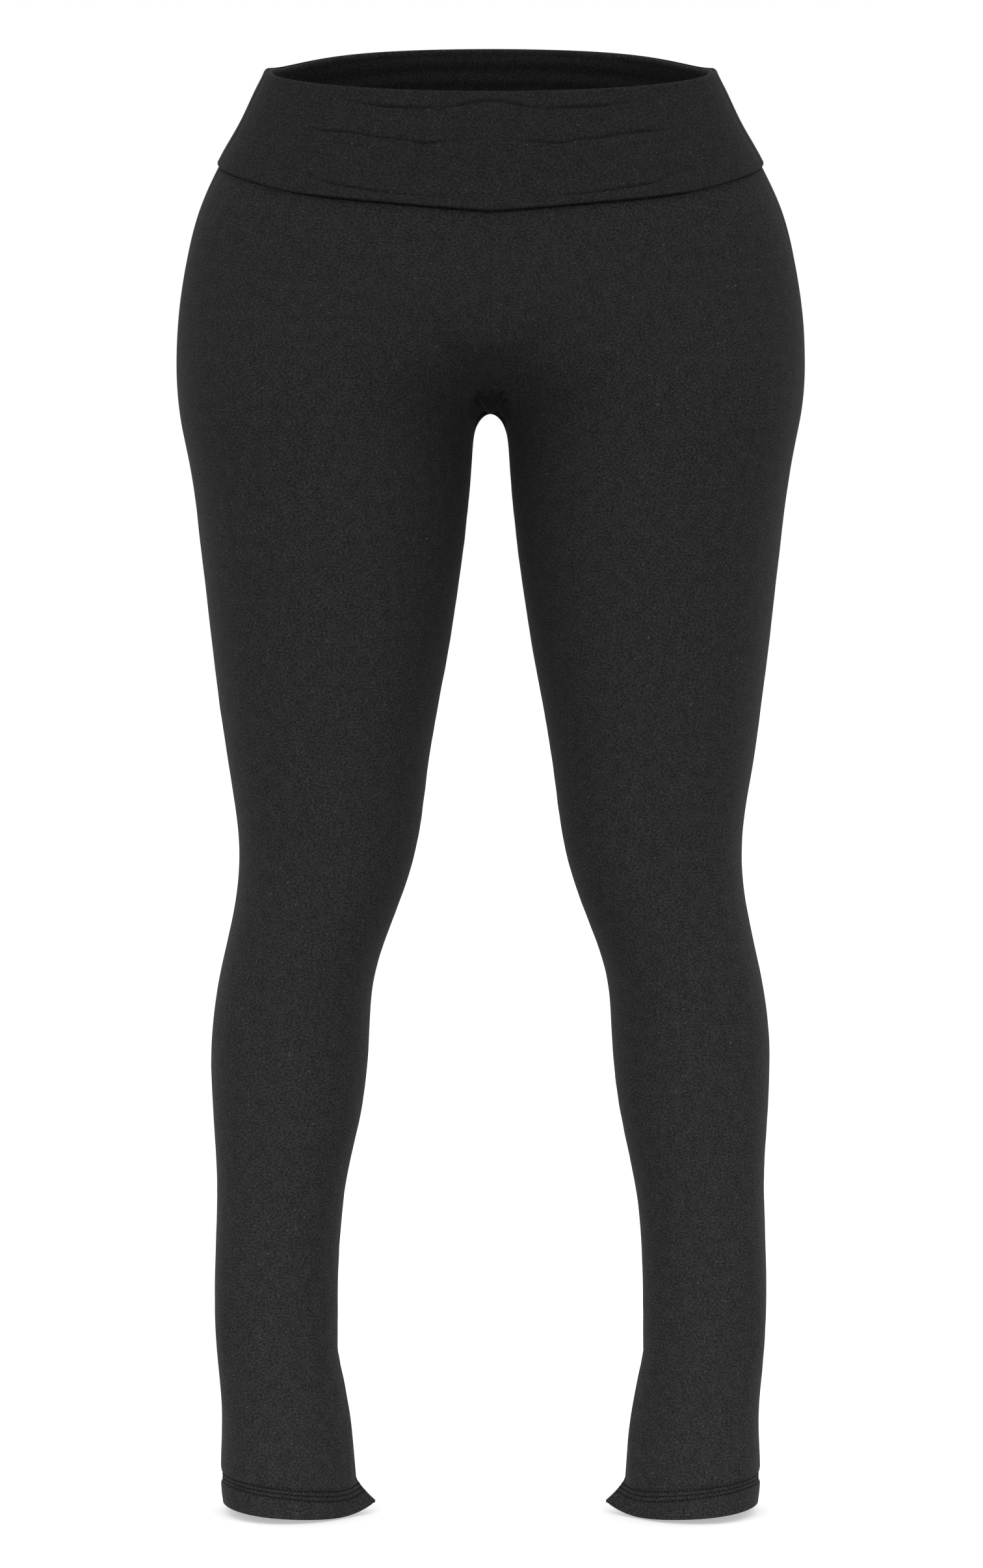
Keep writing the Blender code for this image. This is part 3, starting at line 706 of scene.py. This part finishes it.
def panel_surface(level, turn, side, is_front):
    """Outer and inner grids of a leg panel and its map, for rows that run from the side
    seam to the inner edge.

    The outer grid is the form, moved out by the relief: lips and small waves at the
    seams, creases, slow swells, the line that the band's free edge presses in, the bite
    of the needle rows and the fold of the slit. The inner grid lies a wall inside it."""
    base = form(level, turn)
    normal = outward(level, turn)
    across = walked(base)
    to_side, to_inner = across, across[:, -1:] - across
    x, z = base[..., 0], base[..., 2]

    sewn = ease((level - SLIT_TOP) / SEWN_FADE)
    pressed = ease((level - CROTCH - FRONT_RISE_START) / FRONT_RISE_FADE) * is_front
    inner_depth = LIP_DEPTH + (FRONT_RISE_DEPTH - LIP_DEPTH) * pressed
    inner_depth = inner_depth * ease(np.abs(level - CROTCH) / CROTCH_FADE)
    relief = lip(to_side, LIP_RADIUS, LIP_DEPTH)
    relief = relief + sewn * lip(to_inner, LIP_RADIUS, 1.0) * inner_depth

    seed = 11 + 2 * is_front + (side > 0)
    near = np.exp(-to_side / PUCKER_REACH)
    near_inner = np.exp(-to_inner / PUCKER_REACH) * inner_depth / LIP_DEPTH
    pucker = soft_noise(level + 1, to_side + 1, PUCKER_LENGTH, seed)
    relief = relief + PUCKER_HEIGHT * pucker * (near + near_inner)

    over_crotch = level - CROTCH - CREASE_CALM_START
    calm = np.maximum(ease(over_crotch / CREASE_CALM), ease(to_inner / CREASE_CALM))
    if is_front:
        relief = relief + calm * crease_height(FRONT_CREASES, x, z)
        under_edge = level + free_edge(x, FRONT_EDGE) + EDGE_PRESS_BELOW
        relief = relief - EDGE_PRESS * bell(under_edge, EDGE_PRESS_WIDTH)
    else:
        right = side < 0
        shift, share = (BACK_SHIFT, RIGHT_BACK_SHARE) if right else (0.0, LEFT_BACK_SHARE)
        relief = relief + calm * share * crease_height(BACK_CREASES, x - shift, z + shift)
    relief = relief + SWELL_HEIGHT * soft_noise(across + 2, level + 2, SWELL_SIZE, seed + 7)

    inside = ease((to_inner - ROW_END) / ROW_FADE)
    for row_level in NEEDLE_ROWS:
        relief = relief - ROW_BITE * inside * bell(level - needle_row(row_level, x), ROW_WIDTH)
    below_slit = ease((SLIT_TOP - level) / SLIT_FOLD_FADE)
    relief = relief + SLIT_FOLD_HEIGHT * below_slit * bell(to_inner - SLIT_FOLD, SLIT_FOLD_WIDTH)

    # Free edges are rounded: half the wall's thickness follows a quarter circle.
    turned = ease((HEM_TURN - level) / HEM_STEP)
    beside_slit = ease((2 * SLIT_FOLD - to_inner) / SLIT_EDGE_STEP)
    at_slit = ease((SLIT_TOP - level) / SLIT_STEP) * beside_slit
    half = (LEG_WALL + (HEM_WALL - LEG_WALL) * np.maximum(turned, at_slit)) / 2
    from_slit = np.where(level < SLIT_TOP, to_inner / half, 1)
    edge = np.clip(np.minimum((level - HEM) / half, from_slit), THIN_EDGE, 1)
    round_share = np.sqrt(1 - (1 - edge) ** 2)
    middle = relief - half
    outer = base + (middle + half * round_share)[..., None] * normal
    inner = base + (middle - half * round_share)[..., None] * normal
    move = hem_move(level, turn, base, is_front)
    mirror = np.array([side, 1.0, 1.0])
    cloth_map = np.stack((side * across, level + 0 * across), axis=-1)
    return (outer + move) * mirror, (inner + move) * mirror, normal * mirror, cloth_map


def leg_panel(node, side, is_front, material):
    """The detailed cloth of one leg panel, in place of its CAD node, and the width, length
    and area of its cut."""
    level = panel_rows(is_front)[:, None]
    turn = turn_across(panel_columns(is_front)[None, :], is_front) + 0 * level
    level = level + 0 * turn
    outer, inner, _, cloth_map = panel_surface(level, turn, side, is_front)
    above_crotch = level[:, -1] >= CROTCH      # here the panels meet in the middle plane
    for grid in (outer, inner):
        grid[above_crotch, -1, 0] = 0.0
    points, faces = closed_wall(outer, inner)
    cloth_map = np.concatenate((cloth_map, cloth_map)).reshape(-1, 2)
    piece = add_mesh(node + "_jersey", points, face_out(points, faces), material, cloth_map)
    width = np.max(cloth_map[:, 0] * side) / STRETCH
    rise_curve = FRONT_RISE_CURVE if is_front else BACK_RISE_CURVE
    length = WAIST_SEAM - HEM + rise_curve + (HEM_TURN - HEM)
    area = grid_area(outer) / STRETCH
    return piece, width, length, area


def grid_area(grid):
    """Area of a grid of points: half the cross product of each face's diagonals."""
    one = grid[1:, 1:] - grid[:-1, :-1]
    other = grid[1:, :-1] - grid[:-1, 1:]
    return float(np.linalg.norm(np.cross(one, other), axis=-1).sum() / 2)


# ---------------- waistband


def band_half(node, is_front, material):
    """Front or back half of the waistband, and the width, length and area of its cut.

    The middle of the cloth is walked from the waist seam up the stand, over the roll at
    the top and down the folded layer, as drop below the fold and offset out from the
    body form; both faces lie half the cloth's thickness to each side of it, square to
    that walk. The rows of the one side are mirrored to the other."""
    side_share = 0.04
    side_edge = side_share * np.linspace(0, 1, 9) ** 2
    share_across = np.concatenate((side_edge, np.linspace(side_share, 1, 74)[1:]))
    turn = turn_across(share_across, is_front)
    half_way = np.array(-BAND_DEPTH / 2)
    middle_row = form(half_way, turn)
    x = middle_row[:, 0]
    slack = 1 - (x / section(half_way, "outer")) ** 2
    depth = free_edge(x, FRONT_EDGE if is_front else BACK_EDGE)

    stand_drop = np.linspace(-WAIST_SEAM, FOLD_RADIUS, 44)[:, None] + 0 * turn
    arc = np.linspace(0.0, np.pi, 14)[1:, None] + 0 * turn
    share = np.linspace(0.0, 1.0, 176)[1:, None] + 0 * turn
    edge_share = 1 - FLAP_EDGE_ROWS / BAND_DEPTH * (1 - np.linspace(0, 1, 7)[1:]) ** 2
    share = np.concatenate((share[:-1], edge_share[:, None] + 0 * turn))
    hang_drop = FOLD_RADIUS + share * (depth - FOLD_RADIUS)

    seed = 31 + is_front
    half = BAND_WALL / 2
    phase = (stand_drop - STAND_ROLL_START) / STAND_ROLL_STEP * 2 * np.pi
    wander = soft_noise(x + 1 + 0 * stand_drop, stand_drop, STAND_ROLL_WANDER_SIZE, seed + 3)
    rolls = (1 + np.cos(phase + STAND_ROLL_WANDER * wander + np.pi)) / 2
    below_fold = ease((stand_drop - FOLD_RADIUS) / STAND_ROLL_FADE)
    stand_offset = -half - STAND_ROLL * slack * rolls * below_fold
    roll_drop = FOLD_RADIUS * (1 - np.sin(arc))
    roll_offset = -half + FOLD_RADIUS * (1 - np.cos(arc))
    lies_at = FLAP_GAP + half
    flap_offset = lies_at + (roll_offset[-1] - lies_at) * np.exp(-share / FLAP_SETTLE)
    lift = ease((share - FLAP_LIFT_START) / (1 - FLAP_LIFT_START))
    flap_offset = flap_offset + FLAP_LIFT * slack * lift
    tucks = FRONT_TUCKS if is_front else BACK_TUCKS
    flap_offset = flap_offset + tuck_height(tucks, x[None, :] + 0 * share, hang_drop)
    swell = soft_noise(x + 3 + 0 * share, hang_drop * FLAP_SWELL_SQUASH, FLAP_SWELL_SIZE, seed)
    flap_offset = flap_offset + FLAP_SWELL * swell * ease(share / FLAP_SWELL_START)

    drop = np.concatenate((stand_drop, roll_drop, hang_drop))
    offset = np.concatenate((stand_offset, roll_offset, flap_offset))
    way_drop, way_offset = np.gradient(drop, axis=0), np.gradient(offset, axis=0)
    length = np.hypot(way_drop, way_offset)
    on_flap = (np.arange(len(drop)) >= len(stand_drop) + len(roll_drop))[:, None]
    edge = np.where(on_flap, np.clip((hang_drop[-1] - drop) / half, THIN_EDGE, 1.0), 1.0)
    half = half * np.sqrt(1 - (1 - edge) ** 2)

    across = walked(middle_row)
    seam_lip = lip(across, LIP_RADIUS, LIP_DEPTH * BAND_LIP_SHARE)[None, :] * on_flap
    step = np.hypot(np.diff(drop, axis=0), np.diff(offset, axis=0))
    walk = np.concatenate((np.zeros((1, len(turn))), np.cumsum(step, axis=0)))

    halves = []
    for face in (1, -1):
        face_drop = drop + face * half * way_offset / length
        face_offset = offset - face * half * way_drop / length + seam_lip
        face_turn = turn[None, :] + 0 * face_drop
        level = -face_drop
        point = form(level, face_turn) + face_offset[..., None] * outward(level, face_turn)
        point[:, -1, 0] = 0.0
        mirrored = point[:, -2::-1] * np.array([-1.0, 1.0, 1.0])
        halves.append(np.concatenate((point, mirrored), axis=1))
    from_middle = across[-1] - across
    one_side = np.stack((from_middle[None, :] + 0 * walk, -walk), axis=-1)
    other_side = one_side[:, -2::-1] * np.array([-1.0, 1.0])
    cloth_map = np.concatenate((one_side, other_side), axis=1)
    points, faces = closed_wall(*halves)
    cloth_map = np.concatenate((cloth_map, cloth_map)).reshape(-1, 2)
    piece = add_mesh(node + "_jersey", points, face_out(points, faces), material, cloth_map)
    width = 2 * across[-1] / STRETCH * FLAP_FLARE
    return piece, width, float(walk.max()), grid_area(halves[0]) / STRETCH


# ---------------- coverstitch


def hem_stitches(name, side, is_front, material):
    """Rows of short slanting stitches along the hem, and the looper thread inside that
    zigzags from the top row to the bottom one. A stitch rises out of the cloth and dips
    back by a power of the sine of the way along it, and is thinner at its ends."""
    turn = turn_across(np.linspace(0, 1, 400)[None, :], is_front)
    points, faces, start = [], [], 0
    inner_rows = []
    for row_level in NEEDLE_ROWS:
        row_at = needle_row(row_level, form(row_level + 0 * turn, turn)[..., 0])
        outer, inner, normal, _ = panel_surface(row_at, turn, side, is_front)
        outer, inner, normal = outer[0], inner[0], normal[0]
        along = walked(outer)
        inner_rows.append((inner, normal, along))
        count = int((along[-1] - STITCH_END) / STITCH_STEP)
        first = (along[-1] - count * STITCH_STEP) / 2
        t = np.linspace(0, 1, 7)
        at = first + STITCH_STEP * np.arange(count)[:, None] + STITCH_LENGTH * t
        path, out = points_at(at, along, outer), points_at(at, along, normal)
        lift = THREAD_RADIUS * (1.5 * np.sin(np.pi * t) ** 0.6 - 1.0)
        path = path + lift[None, :, None] * out
        path[..., 2] += STITCH_SLANT * (2 * t - 1)
        radius = THREAD_RADIUS * (0.55 + 0.45 * np.sin(np.pi * t) ** 0.5)
        p, f = tube(path, out, radius[None, :])
        points.append(p)
        faces.append(f + start)
        start += len(p)
    (upper, normal, along), _, (lower, _, along_lower) = inner_rows
    count = int(along[-1] / STITCH_STEP)
    t = np.linspace(0, 1, 6 * count)
    swing = (1 + np.sin(np.pi * 2 * count * t)) / 2
    top = points_at(t * along[-1], along, upper)
    low = points_at(t * along_lower[-1], along_lower, lower)
    out = points_at(t * along[-1], along, normal)
    path = top * swing[:, None] + low * (1 - swing[:, None]) - 1.2 * THREAD_RADIUS * out
    p, f = tube(path[None], out[None], THREAD_RADIUS * 0.9)
    points.append(p)
    faces.append(f + start)
    points, faces = np.concatenate(points), np.concatenate(faces)
    return add_mesh(name, points, face_out(points, faces), material, sharp=180)


# ---------------- materials


def linear(hex_colour):
    """An sRGB hex colour as linear RGBA."""
    c = np.array([int(hex_colour[i : i + 2], 16) for i in (1, 3, 5)]) / 255
    c = np.where(c <= 0.04045, c / 12.92, ((c + 0.055) / 1.055) ** 2.4)
    return (*c.tolist(), 1.0)


def add_node(tree, kind, settings=None, inputs=None):
    """A new node with its settings; an input is a value or an output to link from."""
    node = tree.nodes.new("ShaderNode" + kind)
    for key, value in (settings or {}).items():
        setattr(node, key, value)
    for key, value in (inputs or {}).items():
        if isinstance(value, bpy.types.NodeSocket):
            tree.links.new(value, node.inputs[key])
        else:
            node.inputs[key].default_value = value
    return node


def new_material(name, roughness, specular):
    """A material, its nodes and its shader, with how dull and how reflective it is."""
    material = bpy.data.materials.new(name)
    material.use_nodes = True
    shader = material.node_tree.nodes["Principled BSDF"]
    shader.inputs["Roughness"].default_value = roughness
    shader.inputs["Specular IOR Level"].default_value = specular
    return material, material.node_tree, shader


def charcoal_melange_jersey(name, dark, light):
    """Cotton and elastane single jersey in charcoal melange, brushed soft.

    Near-black dyed fibres are spun with greyer ones, so the eye sees a dense speckle that
    runs a little along the courses. The real specks are about 0.8 mm wide; they are drawn
    1.6 mm wide and 1.2 mm high so that they show, and broken up by finer ones, down to a
    fibre's width. A faint cloud 8 mm across is the unevenness of the yarn. The cloth is
    dull; its short fuzz gives a pale sheen where it turns away, and holds a little lint."""
    material, tree, shader = new_material(name, 0.92, 0.04)
    cloth = add_node(tree, "UVMap", {"uv_map": "cloth"}).outputs["UV"]

    speckle_at = add_node(tree, "Mapping", {}, {"Vector": cloth, "Scale": (640.0, 860.0, 1.0)})
    speckle = add_node(
        tree, "TexNoise", {"noise_dimensions": "2D"},
        {"Vector": speckle_at.outputs[0], "Scale": 1.0, "Detail": 5.0, "Roughness": 0.8},
    )
    mottle = add_node(
        tree, "TexNoise", {"noise_dimensions": "2D"},
        {"Vector": cloth, "Scale": 130.0, "Detail": 2.0, "Roughness": 0.5},
    )
    both = add_node(
        tree, "Mix", {"data_type": "FLOAT"},
        {0: 0.10, 2: speckle.outputs["Fac"], 3: mottle.outputs["Fac"]},
    )
    share = add_node(
        tree, "MapRange", {"clamp": True},
        {"Value": both.outputs[0], "From Min": 0.40, "From Max": 0.68},
    )
    fibre = add_node(
        tree, "Mix", {"data_type": "RGBA"},
        {"Factor": share.outputs[0], 6: linear(dark), 7: linear(light)},
    )

    # Lint: a speck 0.4 to 0.9 mm wide in some cells of a 6 mm net, bent by a finer noise
    bend = add_node(
        tree, "TexNoise", {"noise_dimensions": "2D"},
        {"Vector": cloth, "Scale": 900.0, "Detail": 1.0},
    )
    bent = add_node(
        tree, "Mapping", {}, {"Vector": bend.outputs["Color"], "Scale": (0.0022, 0.0022, 0.0)}
    )
    lint_at = add_node(tree, "VectorMath", {"operation": "ADD"}, {0: cloth, 1: bent.outputs[0]})
    cell = add_node(
        tree, "TexVoronoi", {"voronoi_dimensions": "2D", "feature": "F1"},
        {"Vector": lint_at.outputs[0], "Scale": 165.0, "Randomness": 1.0},
    )
    near = add_node(
        tree, "MapRange", {"clamp": True},
        {"Value": cell.outputs["Distance"], "From Min": 0.075, "From Max": 0.030},
    )
    chance = add_node(tree, "SeparateColor", {}, {"Color": cell.outputs["Color"]})
    picked = add_node(
        tree, "MapRange", {"clamp": True},
        {"Value": chance.outputs[0], "From Min": 0.50, "From Max": 1.2},
    )
    lint = add_node(
        tree, "Math", {"operation": "MULTIPLY"}, {0: near.outputs[0], 1: picked.outputs[0]}
    )
    colour = add_node(
        tree, "Mix", {"data_type": "RGBA"},
        {"Factor": lint.outputs[0], 6: fibre.outputs[2], 7: linear("#5e5e60")},
    )
    tree.links.new(colour.outputs[2], shader.inputs["Base Color"])

    # Courses of the knit, really 0.55 mm apart and drawn 1.1 mm apart so that they show,
    # and the fuzz over them
    course_at = add_node(tree, "Mapping", {}, {"Vector": cloth, "Scale": (1.0, 290.0, 1.0)})
    course = add_node(
        tree, "TexWave", {"wave_type": "BANDS", "bands_direction": "Y"},
        {"Vector": course_at.outputs[0], "Scale": 1.0, "Distortion": 1.6, "Detail": 1.0,
         "Detail Scale": 60.0},
    )
    relief = add_node(
        tree, "Math", {"operation": "MULTIPLY_ADD"},
        {0: course.outputs["Fac"], 1: 0.25, 2: speckle.outputs["Fac"]},
    )
    bump = add_node(
        tree, "Bump", {}, {"Height": relief.outputs[0], "Strength": 0.32, "Distance": 0.00045}
    )
    tree.links.new(bump.outputs[0], shader.inputs["Normal"])
    shader.inputs["Sheen Weight"].default_value = 0.10
    shader.inputs["Sheen Roughness"].default_value = 0.30
    shader.inputs["Sheen Tint"].default_value = linear("#d8d8da")
    return material


def black_polyester_thread():
    """Spun polyester sewing thread: darker than the jersey and without its fuzz, with the
    light and dark of its twist about 0.4 mm apart."""
    material, tree, shader = new_material("black_polyester_thread", 0.8, 0.05)
    place = add_node(tree, "TexCoord").outputs["Object"]
    twist = add_node(tree, "TexNoise", {}, {"Vector": place, "Scale": 2600.0, "Detail": 1.0})
    colour = add_node(
        tree, "Mix", {"data_type": "RGBA"},
        {"Factor": twist.outputs["Fac"], 6: linear("#060606"), 7: linear("#161616")},
    )
    tree.links.new(colour.outputs[2], shader.inputs["Base Color"])
    return material


def white_acrylic():
    """Matt white acrylic of a shooting table, lit from below, with the faintest cloud, two
    thirds of a metre across."""
    material, tree, shader = new_material("white_acrylic", 0.95, 0.1)
    place = add_node(tree, "TexCoord").outputs["Object"]
    cloud = add_node(tree, "TexNoise", {}, {"Vector": place, "Scale": 1.5, "Detail": 2.0})
    colour = add_node(
        tree, "Mix", {"data_type": "RGBA"},
        {"Factor": cloud.outputs["Fac"], 6: linear("#f4f4f4"), 7: linear("#f7f7f7")},
    )
    tree.links.new(colour.outputs[2], shader.inputs["Base Color"])
    shader.inputs["Emission Color"].default_value = linear("#ffffff")
    shader.inputs["Emission Strength"].default_value = FLOOR_GLOW
    return material


# ---------------- studio

FLOOR_BELOW = 0.0010       # the floor lies this far under the hems
FLOOR_RADIUS = 8.0
FLOOR_GLOW = 0.35          # lit from below, so that it runs into the white round it

CAMERA_PLACE = (0.0, -4.5, -0.08)
CAMERA_AIM = (0.0, 0.0, -0.4565)
IMAGE_WIDTH, IMAGE_HEIGHT = 1512, 2411
FOCAL_PIXELS = 10782.4     # focal length in pixels of the render
MIDDLE_PIXEL = 754.5       # column of the middle plane in the render
SENSOR = 36.0

# Soft boxes: place, aim, width, height, power in watts and spread in degrees. A white tent
# gives most of the light; four boxes stand low round the ankles
LIGHT_COLUMNS = ("place", "aim", "width", "height", "power", "spread")
LIGHTS = (
    ((-1.7, -1.9, -0.78), (0.0, 0.0, -0.94), 0.9, 0.24, 1.2, 42),
    ((1.7, -1.9, -0.78), (0.0, 0.0, -0.94), 0.9, 0.24, 1.2, 42),
    ((-1.7, 1.9, -0.78), (0.0, 0.0, -0.94), 0.9, 0.24, 0.8, 42),
    ((1.7, 1.9, -0.78), (0.0, 0.0, -0.94), 0.9, 0.24, 0.8, 42),
)
TENT = 1.0                 # white, and as bright as white paper
TENT_BELOW = 0.35          # the tent is darker under the floor
TENT_ENDS = (-0.18, -0.50) # and grows so between these heights of the direction


def round_floor(level, material):
    """A level disc: rings of points round the middle, from its centre to its rim."""
    angle = np.linspace(0, 2 * np.pi, 97)
    radius = FLOOR_RADIUS * np.linspace(0, 1, 9)[:, None]
    x, y = radius * np.cos(angle), radius * np.sin(angle)
    grid = np.stack((x, y, level + 0 * x), axis=-1)
    faces = grid_faces(*grid.shape[:2])
    return add_mesh("round_floor", grid.reshape(-1, 3), faces, material)


def white_tent():
    """A white cloth tent all round, as bright as paper, and darker under the floor."""
    world = bpy.data.worlds.new("white_tent")
    world.use_nodes = True
    tree = world.node_tree
    way = add_node(tree, "TexCoord").outputs["Generated"]
    height = add_node(tree, "SeparateXYZ", {}, {"Vector": way}).outputs["Z"]
    strength = add_node(
        tree, "MapRange", {"interpolation_type": "SMOOTHSTEP"},
        {"Value": height, "From Min": TENT_ENDS[1], "From Max": TENT_ENDS[0],
         "To Min": TENT_BELOW, "To Max": TENT},
    )
    background = tree.nodes["Background"]
    background.inputs["Color"].default_value = (1.0, 1.0, 1.0, 1.0)
    tree.links.new(strength.outputs[0], background.inputs["Strength"])
    return world


def look_at(thing, place, aim):
    """Put a camera or a light at a place, turned to its aim."""
    thing.location = place
    thing.rotation_euler = (Vector(aim) - Vector(place)).to_track_quat("-Z", "Y").to_euler()


def studio():
    """Camera, soft boxes, white tent and floor."""
    scene = bpy.context.scene
    camera = bpy.data.objects.new("camera", bpy.data.cameras.new("camera"))
    scene.collection.objects.link(camera)
    look_at(camera, CAMERA_PLACE, CAMERA_AIM)
    camera.data.sensor_width = SENSOR
    camera.data.lens = FOCAL_PIXELS / IMAGE_HEIGHT * SENSOR
    camera.data.shift_x = (IMAGE_WIDTH / 2 - MIDDLE_PIXEL) / IMAGE_HEIGHT
    scene.camera = camera
    for number, row in enumerate(LIGHTS):
        light = dict(zip(LIGHT_COLUMNS, row))
        data = bpy.data.lights.new(f"soft_box_{number}", "AREA")
        data.shape = "RECTANGLE"
        data.size, data.size_y, data.energy = light["width"], light["height"], light["power"]
        data.spread = np.radians(light["spread"])
        soft_box = bpy.data.objects.new(f"soft_box_{number}", data)
        scene.collection.objects.link(soft_box)
        look_at(soft_box, light["place"], light["aim"])
    scene.world = white_tent()
    scene.view_settings.view_transform = "Standard"
    lowest = cad_box[0][2]
    floor = round_floor(lowest - FLOOR_BELOW, white_acrylic())
    floor.visible_diffuse = False      # its glow is kept off the cloth
    floor.visible_glossy = False


# ---------------- putting it together


def build():
    """All pieces, each on the body of the part and in the place of its CAD node."""
    leg_cloth = charcoal_melange_jersey("charcoal_melange_jersey", "#1b1b1b", "#3d3d3d")
    # The band is the same jersey as the legs, drawn with a darker light fibre: painted shade, so
    # that the band reads darker than the legs
    shaded_band_cloth = charcoal_melange_jersey("charcoal_melange_band_painted_shade", "#1b1b1b", "#373737")
    thread = black_polyester_thread()
    for node, side, is_front in (
        ("front_left", 1, True),
        ("front_right", -1, True),
        ("back_left", 1, False),
        ("back_right", -1, False),
    ):
        panel, width, length, area = leg_panel(node, side, is_front, leg_cloth)
        stitches = hem_stitches(node + "_coverstitch", side, is_front, thread)
        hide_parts(node)
        for piece in (panel, stitches):
            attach(piece, "root")
    for node, is_front in (("waistband_front", True), ("waistband_back", False)):
        band, width, length, area = band_half(node, is_front, shaded_band_cloth)
        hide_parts(node)
        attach(band, "root")


build()
studio()
